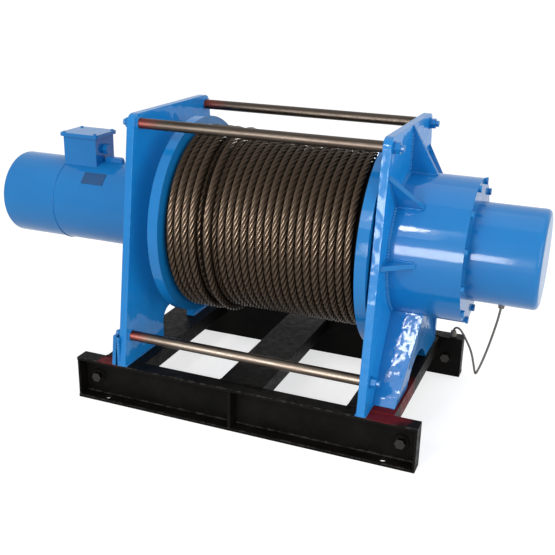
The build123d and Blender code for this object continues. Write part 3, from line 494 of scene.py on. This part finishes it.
def rope_steel():
    """Greased wire rope, dull in the valleys between its strands, where grease and painted shade darken it."""
    material, tree, shader = start_material("rope_steel", Specular_Tint=ROPE_TINT,
                                            Specular_IOR_Level=ROPE_SPECULAR)
    crest = add_node(tree, "Attribute", attribute_name="crest").outputs["Fac"]
    grease = mottle(tree, object_place(tree), scale=18.0, detail=4.0, roughness=0.6, low=0.35)
    strand = blend_colour(tree, grease, ROPE_WORN, ROPE_GREASED)
    # valleys darkened by grease and by painted shade
    colour = blend_colour(tree, spread(tree, crest, low=0.25, high=0.85), ROPE_VALLEY_GREASE_AND_SHADE, strand)
    by_height = spread(tree, crest, low=0.45, high=0.85, to_low=0.65, to_high=0.0)
    greasy = spread(tree, grease, low=0.0, high=1.0, to_low=0.28, to_high=0.38)
    rough = calculate(tree, "ADD", by_height, greasy)
    lay = add_node(tree, "UVMap", uv_map="lay").outputs["UV"]
    split = add_node(tree, "SeparateXYZ", {"Vector": lay}).outputs
    turn = calculate(tree, "ADD", split["Y"], calculate(tree, "DIVIDE", split["X"], ROPE_LAY))
    wires = calculate(tree, "SINE", calculate(tree, "MULTIPLY", turn, 2 * math.pi * WIRES_AROUND))
    connect(tree, shader, Base_Color=colour, Roughness=rough, Normal=bump(tree, wires, WIRE_DEPTH))
    return material


def plain_metal(name, colour, low_rough, high_rough, metallic=1.0):
    material, tree, shader = start_material(name, Metallic=metallic)
    place = object_place(tree)
    cloud = mottle(tree, place, scale=25.0, detail=4.0, roughness=0.6)
    shade = tuple(METAL_SHADE * value for value in colour)
    mixed = blend_colour(tree, cloud, shade, colour)
    rough = spread(tree, cloud, low=0.0, high=1.0, to_low=low_rough, to_high=high_rough)
    grain = bump(tree, noise_value(tree, place, scale=300.0), METAL_GRAIN_DEPTH)
    connect(tree, shader, Base_Color=mixed, Roughness=rough, Normal=grain)
    return material


def plain_plastic(name, colour, roughness):
    return plain_metal(name, colour, roughness, roughness + PLASTIC_ROUGH_RANGE, metallic=0.0)


MATERIALS = {
    "blue_paint": blue_paint("blue_paint", TURNED_WAVE),
    "black_paint": black_paint(),
    "rod_steel": rod_steel(),
    "rope_steel": rope_steel(),
    "bolt_steel": plain_metal("bolt_steel", (0.046, 0.043, 0.040), 0.32, 0.5),
    "drum_steel": plain_metal("drum_steel", (0.12, 0.115, 0.11), 0.4, 0.6),
    "machined_steel": plain_metal("machined_steel", (0.52, 0.52, 0.53), 0.2, 0.35),
    "coil_steel": plain_metal("coil_steel", (0.36, 0.22, 0.13), 0.35, 0.55),
    "bronze": plain_metal("bronze", (0.60, 0.38, 0.16), 0.25, 0.4),
    "friction_lining": plain_plastic("friction_lining", (0.11, 0.09, 0.07), 0.7),
    "fan_plastic": plain_plastic("fan_plastic", (0.03, 0.03, 0.03), 0.5),
    "grey_rubber": plain_plastic("grey_rubber", (0.17, 0.15, 0.13), 0.5),
    "bare_aluminium": plain_plastic("name_plate", (0.006, 0.075, 0.22), 0.55),
}
WAVY_PAINT = blue_paint("blue_paint_on_plate", PLATE_WAVE, PLATE_EDGE)


def paint_nodes():
    for subpart in frame["record"]["subparts"]:
        slots = nodes[subpart["node"]].data.materials
        slots.clear()
        slots.append(WAVY_PAINT if subpart["node"] in WAVY_NODES else MATERIALS[subpart["material_slot"]])


# Rope
def ease(value):
    value = min(max(value, 0.0), 1.0)
    return value * value * (3 - 2 * value)


def rope_point(turns, buried):
    """Centre of the rope after so many turns: a few on top, one of them apart, then the layer below.
    A buried turn is on the layer below all along."""
    skip = 1.0 if buried else ease((turns - ROPE_SKIP_TURN) / ROPE_EASE)
    fall = 1.0 if buried else ease((turns - ROPE_FALL_TURN) / ROPE_EASE)
    radius = ROPE_UPPER_RADIUS - ROPE_LAYER_RISE * fall
    angle = 2 * math.pi * turns
    pitches = turns + skip - fall / 2
    x = DRUM_LEFT + ROPE_END_GAP + ROPE_DIAMETER / 2 + ROPE_SPAN * pitches / ROPE_PITCHES
    return np.array((x, radius * math.cos(angle), AXIS_HEIGHT + radius * math.sin(angle)))


def rope_section(turns, buried):
    """Centre of the rope, with the directions away from the drum and sideways across it."""
    centre = rope_point(turns, buried)
    tangent = rope_point(turns + TANGENT_STEP, buried) - rope_point(turns - TANGENT_STEP, buried)
    tangent /= np.linalg.norm(tangent)
    out = (centre - (0, 0, AXIS_HEIGHT)) * (0, 1, 1)
    out -= tangent * out.dot(tangent)
    out /= np.linalg.norm(out)
    return centre, out, np.cross(tangent, out)


def strand_outline():
    """Distance from the rope's centre and share of the height above the valleys, round one strand."""
    rows = []
    for index in range(POINTS_PER_STRAND):
        crest = 1 - (2 * index / POINTS_PER_STRAND - 1) ** 2
        rows.append((ROPE_DIAMETER / 2 - STRAND_DEPTH * (1 - crest), crest))
    return rows


def rope_rings(outline, first_turn, last_turn, used, buried):
    """Points of a stretch of rope, ring by ring, and the length of rope used up to each ring."""
    start_radius = np.hypot(*(rope_point(first_turn, buried)[1:] - (0, AXIS_HEIGHT)))
    steps = round((last_turn - first_turn) * 2 * math.pi * start_radius / ROPE_STEP)
    points, lengths = [], []
    before = None
    for step in range(steps + 1):
        turns = first_turn + (last_turn - first_turn) * step / steps
        centre, out, side = rope_section(turns, buried)
        if before is not None:
            used += np.linalg.norm(centre - before)
        before = centre
        twist = 2 * math.pi * used / ROPE_LAY
        for index, (reach, crest) in enumerate(outline):
            angle = twist + 2 * math.pi * index / len(outline)
            points.append(centre + reach * (math.cos(angle) * out + math.sin(angle) * side))
        lengths.append(used)
    return points, lengths


def lay_places(lengths, sides):
    """Rope used and share of the way round it, at each corner of the faces of a stretch of rope."""
    places = []
    for ring in range(len(lengths) - 1):
        for index in range(sides):
            for step, end in ((0, ring), (1, ring), (1, ring + 1), (0, ring + 1)):
                places += [lengths[end], (index + step) / sides]
    for end in (0, -1):
        places += [lengths[end], 0.0] * sides
    return places


def rope_piece(name, first_turn, last_turn, used=0.0, buried=False):
    """Stretch of stranded rope between two places on the drum, and the length used up to its end."""
    outline = strand_outline() * STRANDS
    points, lengths = rope_rings(outline, first_turn, last_turn, used, buried)
    piece = add_mesh(name, points, tube_faces(len(lengths), len(outline)))
    mesh = piece.data
    ends = np.empty(2 * len(mesh.edges), int)
    mesh.edges.foreach_get("vertices", ends)
    valleys = (ends.reshape(-1, 2) % POINTS_PER_STRAND == 0).all(axis=1)
    crests = [crest for reach, crest in outline] * len(lengths)
    mesh.attributes.new("sharp_edge", "BOOLEAN", "EDGE").data.foreach_set("value", valleys)
    mesh.attributes.new("crest", "FLOAT", "POINT").data.foreach_set("value", crests)
    mesh.uv_layers.new(name="lay").data.foreach_set("uv", lay_places(lengths, len(outline)))
    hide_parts("rope_winding")
    place_piece(piece, "drum", "rope_steel")
    return piece, lengths[-1]


def add_rope():
    upper, used = rope_piece("rope_upper_layer", 0.0, ROPE_SPLIT_TURN)
    lower, used = rope_piece("rope_lower_layer", ROPE_SPLIT_TURN, ROPE_LAST_TURN, used)
    buried, used = rope_piece("rope_buried_turns", *ROPE_BURIED_TURNS, buried=True)
    return [upper, lower, buried]


# Brake lead
def brake_lead():
    curve = bpy.data.curves.new("brake_lead_cord", "CURVE")
    curve.dimensions = "3D"
    curve.bevel_depth = LEAD_DIAMETER / 2
    curve.bevel_resolution = 4
    curve.resolution_u = 10
    curve.use_fill_caps = True
    spline = curve.splines.new("NURBS")
    spline.points.add(len(LEAD_ROUTE) - 1)
    for point, place in zip(spline.points, LEAD_ROUTE):
        point.co = (*place, 1.0)
    spline.order_u = 3
    spline.use_endpoint_u = True
    lead = bpy.data.objects.new("brake_lead_cord", curve)
    scene.collection.objects.link(lead)
    place_piece(lead, "frame", "grey_rubber")
    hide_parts("brake_lead")


# Small pieces
def scatter(name, shape, places, slot):
    """One piece with a copy of a shape at each place."""
    points, faces = shape
    copies = [([place @ Vector(point) for point in points], faces) for place in places]
    piece = add_mesh(name, *join_shapes(copies))
    piece.data.set_sharp_from_angle(angle=SHARP_ANGLE)
    return place_piece(piece, "frame", slot)


def turned(profile, sides):
    """Shape turned about Z from rows of radius and height."""
    points = []
    for radius, height in profile:
        for step in range(sides):
            angle = 2 * math.pi * step / sides
            points.append((radius * math.cos(angle), radius * math.sin(angle), height))
    return points, tube_faces(len(profile), sides)


def box_screws():
    low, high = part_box("terminal_box_lid")
    places = []
    for x in (low.x + LID_SCREW_EDGE, high.x - LID_SCREW_EDGE):
        for y in (low.y + LID_SCREW_EDGE, high.y - LID_SCREW_EDGE):
            places.append(facing((x, y, high.z), (0, 0, 1)))
    scatter("terminal_lid_screws", turned(SCREW_PROFILE, SCREW_SIDES), places, "blue_paint")


def plate_rivets():
    low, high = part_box("motor_nameplate")
    places = []
    for x in (low.x + RIVET_EDGE, high.x - RIVET_EDGE):
        for degrees in RIVET_ANGLES:
            out = outward(degrees)
            point = Vector((x, 0, AXIS_HEIGHT)) + out * (MOTOR_RADIUS + NAMEPLATE_THICKNESS)
            places.append(facing(point, out))
    scatter("nameplate_rivets", turned(RIVET_PROFILE, RIVET_SIDES), places, "bare_aluminium")


def rail_washers():
    places = []
    for side in (-1, 1):
        for end in (-1, 1):
            point = (end * (RAIL_END - WEB_BOLT_END), side * WEB_FACE, WEB_BOLT_HEIGHT)
            places.append(facing(point, (0, side, 0)))
    scatter("rail_washers", turned(WASHER_PROFILE, WASHER_SIDES), places, "black_paint")


def rail_end_plates():
    """Plates that close the ends of both rails between their flanges."""
    length = END_PLATE / 2
    depth = (RAIL_FACE - WEB_FACE) / 2 - END_PLATE_GAP
    height = RAIL_TOP / 2 - RAIL_LIP - END_PLATE_GAP
    corners = [(x * length, y * depth, z * height) for x in (-1, 1) for y in (-1, 1) for z in (-1, 1)]
    faces = [(0, 1, 3, 2), (4, 6, 7, 5), (0, 4, 5, 1), (2, 3, 7, 6), (0, 2, 6, 4), (1, 5, 7, 3)]
    places = []
    for side in (-1, 1):
        for end in (-1, 1):
            x = end * (RAIL_END - END_PLATE / 2 - END_PLATE_GAP)
            places.append(Matrix.Translation((x, side * (RAIL_FACE + WEB_FACE) / 2, RAIL_TOP / 2)))
    piece = scatter("rail_end_plates", (corners, faces), places, "black_paint")
    edge = piece.modifiers.new("edge", "BEVEL")
    edge.width = END_PLATE_EDGE
    edge.segments = 2


# Welds
def line_stations(line, closed):
    """Evenly spaced stations on a line: point, direction and distance from the start."""
    line = [Vector(point) for point in line]
    if closed:
        line.append(line[0])
    lengths = [(after - before).length for before, after in zip(line, line[1:])]
    total = sum(lengths)
    count = max(round(total / WELD_STEP), WELD_LEAST_STEPS)
    stations = []
    leg, passed = 0, 0.0
    for index in range(count if closed else count + 1):
        wanted = total * index / count
        while leg < len(lengths) - 1 and passed + lengths[leg] < wanted:
            passed += lengths[leg]
            leg += 1
        start, end = line[leg], line[leg + 1]
        share = min((wanted - passed) / lengths[leg], 1.0)
        stations.append((start.lerp(end, share), (end - start).normalized(), wanted))
    return stations


def bead(line, radius, closed=False, ripple=WELD_DEPTH):
    """Points and faces of a bead along a line: a tube with the ripples that a weld leaves."""
    axis = Vector((1, 0, 0))
    stations = line_stations(line, closed)
    points = []
    for centre, tangent, passed in stations:
        side = tangent.orthogonal() if abs(tangent.x) > NEARLY_ALONG_X else tangent.cross(axis)
        side.normalize()
        other = tangent.cross(side)
        rough = WELD_ROUGH_SHARE * noise.noise(centre * WELD_ROUGHNESS)
        reach = radius * (1 + ripple * (math.sin(2 * math.pi * passed / WELD_RIPPLE) + rough))
        for step in range(WELD_SIDES):
            angle = 2 * math.pi * step / WELD_SIDES
            points.append(centre + reach * (math.cos(angle) * side + math.sin(angle) * other))
    return points, tube_faces(len(stations), WELD_SIDES, closed)


def add_beads(name, beads, slot):
    place_piece(add_mesh(name, *join_shapes(beads)), "frame", slot)


def circle(x, y, z, radius):
    turns = [2 * math.pi * step / CIRCLE_STEPS for step in range(CIRCLE_STEPS)]
    return [(x, y + radius * math.cos(turn), z + radius * math.sin(turn)) for turn in turns]


def foot_beads():
    beads = []
    for x in (-PLATE_OUTSIDE, -PLATE_INSIDE, PLATE_INSIDE, PLATE_OUTSIDE):
        for side in (-1, 1):
            reaches = (ARCH_HALF + FOOT_WELD_GAP, PLATE_FOOT - FOOT_WELD_GAP)
            beads.append(bead([(x, side * reach, RAIL_TOP) for reach in reaches], FOOT_WELD))
    return beads


def rod_beads():
    beads = []
    for y, z in ROD_PLACES:
        for x in (-PLATE_INSIDE, PLATE_INSIDE):
            beads.append(bead(circle(x, y, z, ROD_RADIUS), ROD_WELD, closed=True))
    return beads


def rib_beads():
    """Beads on both sides of each rib, up the side plate and along the housing."""
    beads = []
    along = Vector((1, 0, 0))
    middle = Vector((PLATE_OUTSIDE, 0, AXIS_HEIGHT))
    for degrees, reach in zip(RIB_ANGLES, RIB_REACHES):
        out = outward(degrees)
        for side in (-1, 1):
            root = middle + out * HOUSING_RADIUS + along.cross(out) * side * RIB_HALF
            beads.append(bead([root, root + out * reach], RIB_WELD))
            beads.append(bead([root, root + along * RIB_DEPTH], RIB_WELD))
    return beads


def doubler_beads():
    low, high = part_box("left_foot_doublers")
    beads = []
    for y in (low.y + DOUBLER_WELD_INSET, high.y - DOUBLER_WELD_INSET):
        beads.append(bead([(-PLATE_OUTSIDE, y, z) for z in (RAIL_TOP, high.z)], DOUBLER_WELD))
    return beads


def blue_welds():
    """Welds on the painted plates, with the rolled lip of the fan cover."""
    housing = bead(circle(PLATE_OUTSIDE, 0, AXIS_HEIGHT, HOUSING_RADIUS), HOUSING_WELD, closed=True)
    lip = bead(circle(FAN_SEAM, 0, AXIS_HEIGHT, MOTOR_RADIUS), FAN_LIP, closed=True, ripple=0.0)
    beads = [housing, *foot_beads(), *rod_beads(), *rib_beads(), *doubler_beads(), lip]
    add_beads("welds_and_lip", beads, "blue_paint")


def black_welds():
    """Welds where the cross beams meet the rails."""
    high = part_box("cross_beams")[1]
    spacing = high.x - BEAM_HALF
    beads = []
    for centre in (-spacing, 0.0, spacing):
        for side in (-1, 1):
            ends = [(centre + end * BEAM_HALF, side * high.y, RAIL_TOP) for end in (-1, 1)]
            beads.append(bead(ends, BEAM_WELD))
    add_beads("base_welds", beads, "black_paint")


# Stage
def background_rays(tree):
    """1 for the rays that show the background, directly or in a reflection, and 0 for the rest."""
    path = add_node(tree, "LightPath").outputs
    shows = calculate(tree, "MAXIMUM", path["Is Camera Ray"], path["Is Glossy Ray"])
    return calculate(tree, "MAXIMUM", shows, path["Is Transmission Ray"])


def add_floor():
    signs = ((-1, -1), (1, -1), (1, 1), (-1, 1))
    corners = [(x * FLOOR_HALF, y * FLOOR_HALF, 0) for x, y in signs]
    floor = add_mesh("floor", corners, [(0, 1, 2, 3)])
    material, tree, shader = start_material("floor", Base_Color=FLOOR_COLOUR, Roughness=FLOOR_ROUGHNESS,
                                            Specular_IOR_Level=0.0, Emission_Color=WHITE)
    glow = calculate(tree, "MULTIPLY", background_rays(tree), FLOOR_GLOW)
    connect(tree, shader, Emission_Strength=glow)
    floor.data.materials.append(material)


def add_world():
    world = bpy.data.worlds.new("studio")
    world.use_nodes = True
    tree = world.node_tree
    background = tree.nodes["Background"]
    background.inputs["Color"].default_value = WHITE
    strength = spread(tree, background_rays(tree), low=0.0, high=1.0, to_low=WORLD_STRENGTH, to_high=1.0)
    connect(tree, background, Strength=strength)
    scene.world = world


def add_lamp(name, place, aim, size, power, only_gloss=False):
    lamp = bpy.data.lights.new(name, "AREA")
    lamp.shape = "RECTANGLE"
    lamp.size, lamp.size_y = size
    lamp.energy = power
    holder = bpy.data.objects.new(name, lamp)
    holder.location = place
    holder.rotation_euler = (Vector(aim) - Vector(place)).to_track_quat("-Z", "Y").to_euler()
    holder.visible_diffuse = not only_gloss
    scene.collection.objects.link(holder)
    return holder


def group_pieces(name, pieces):
    group = bpy.data.collections.new(name)
    for piece in pieces:
        group.objects.link(piece)
    return group


def shine_only_on(lamp, pieces, blockers=()):
    """Keep a lamp's light to some pieces, and where blockers are named, its shadows to those."""
    lamp.light_linking.receiver_collection = group_pieces(lamp.name + "_pieces", pieces)
    if blockers:
        lamp.light_linking.blocker_collection = group_pieces(lamp.name + "_blockers", blockers)


def add_camera():
    camera = bpy.data.cameras.new("camera")
    camera.lens = CAMERA_LENS
    holder = bpy.data.objects.new("camera", camera)
    turn = Matrix.Rotation(CAMERA_YAW, 4, "Z") @ Matrix.Rotation(math.pi / 2 - CAMERA_PITCH, 4, "X")
    holder.matrix_world = Matrix.Translation(CAMERA_PLACE) @ turn @ Matrix.Rotation(CAMERA_ROLL, 4, "Z")
    scene.collection.objects.link(holder)
    scene.camera = holder


add_camera()
add_world()
add_floor()
add_lamp("window", WINDOW_PLACE, WINDOW_AIM, WINDOW_SIZE, WINDOW_POWER)
add_lamp("key", KEY_PLACE, OBJECT_MIDDLE, KEY_SIZE, KEY_POWER)
add_lamp("top", TOP_PLACE, OBJECT_MIDDLE, TOP_SIZE, TOP_POWER)
add_lamp("fill", FILL_PLACE, OBJECT_MIDDLE, FILL_SIZE, FILL_POWER)
add_lamp("pane", PANE_PLACE, PANE_AIM, PANE_SIZE, PANE_POWER)
glint = add_lamp("glint", WINDOW_PLACE, WINDOW_AIM, WINDOW_SIZE, GLINT_POWER, only_gloss=True)
door = add_lamp("door", DOOR_PLACE, ROPE_FRONT, DOOR_SIZE, DOOR_POWER, only_gloss=True)
rear_door = add_lamp("rear_door", REAR_DOOR_PLACE, ROPE_REAR, REAR_DOOR_SIZE, REAR_DOOR_POWER,
                     only_gloss=True)
strip = add_lamp("strip", STRIP_PLACE, ROPE_FRONT, STRIP_SIZE, STRIP_POWER, only_gloss=True)
bounce = add_lamp("bounce", BOUNCE_PLACE, BOUNCE_AIM, BOUNCE_SIZE, BOUNCE_POWER)
scene.view_settings.view_transform = "Standard"

paint_nodes()
brake_lead()
rope = add_rope()
shine_only_on(glint, [nodes[name] for name in GLINT_NODES])
shine_only_on(door, rope)
shine_only_on(rear_door, rope)
shine_only_on(strip, [nodes["tie_rods"]])
shine_only_on(bounce, [nodes["left_side_plate"], nodes["right_side_plate"]], [nodes["left_side_plate"]])
blue_welds()
black_welds()
box_screws()
plate_rivets()
rail_washers()
rail_end_plates()
